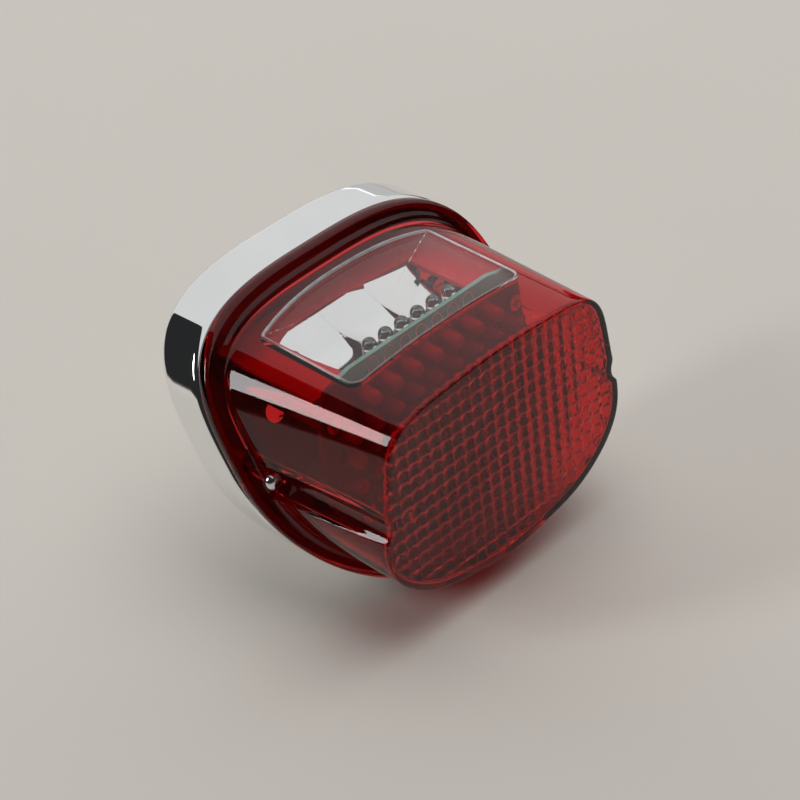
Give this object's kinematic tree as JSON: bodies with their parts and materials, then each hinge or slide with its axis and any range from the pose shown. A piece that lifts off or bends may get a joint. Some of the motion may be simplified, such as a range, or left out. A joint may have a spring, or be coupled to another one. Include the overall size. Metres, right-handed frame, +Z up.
{
  "type": "tail light",
  "caption": "Motorcycle LED tail light: sloping chrome base, deep red box-shaped lens with prism optics, and a clear number-plate window on top.",
  "frame": {"origin": "on the sloping mounting face at the back, midway between the two mounting holes", "axes": "-Y is the way the light shines, +Y is toward the fender, +Z is up, X is the width"},
  "size_m": [0.1272, 0.1002, 0.098],
  "materials": {
    "chrome_shell": "mirror chrome plate",
    "black_plastic": "moulded, satin",
    "tin_brass": "tinned",
    "gasket_rubber": "matt",
    "red_lens": "transparent, polished, prism optics inside",
    "clear_lens": "transparent, polished",
    "bright_steel": "zinc plated, bright",
    "board_green": "solder mask over glass fibre",
    "red_led": "transparent, polished",
    "clear_led": "transparent, polished",
    "chip_black": "matt",
    "can_metal": "satin can",
    "white_plastic": "moulded, satin",
    "chrome_reflector": "vacuum metallised",
    "lead_brown": "PVC insulation",
    "lead_red": "PVC insulation",
    "lead_black": "PVC insulation"
  },
  "bodies": {
    "root": {"base_housing": "chrome_shell", "terminal_block": "black_plastic", "terminal_blades": "tin_brass", "lens_gasket": "gasket_rubber", "lens_body": "red_lens", "plate_window": "clear_lens", "lens_screws": "bright_steel", "screw_seals": "gasket_rubber", "led_board": "board_green", "brake_leds": "red_led", "plate_leds": "clear_led", "resistors": "chip_black", "diodes": "chip_black", "regulator": "chip_black", "capacitor": "can_metal", "board_header": "white_plastic", "board_standoffs": "bright_steel", "board_screws": "bright_steel", "plate_reflector": "chrome_reflector", "reflector_screws": "bright_steel", "lead_running": "lead_brown", "lead_stop": "lead_red", "lead_ground": "lead_black"}
  },
  "joints": []
}
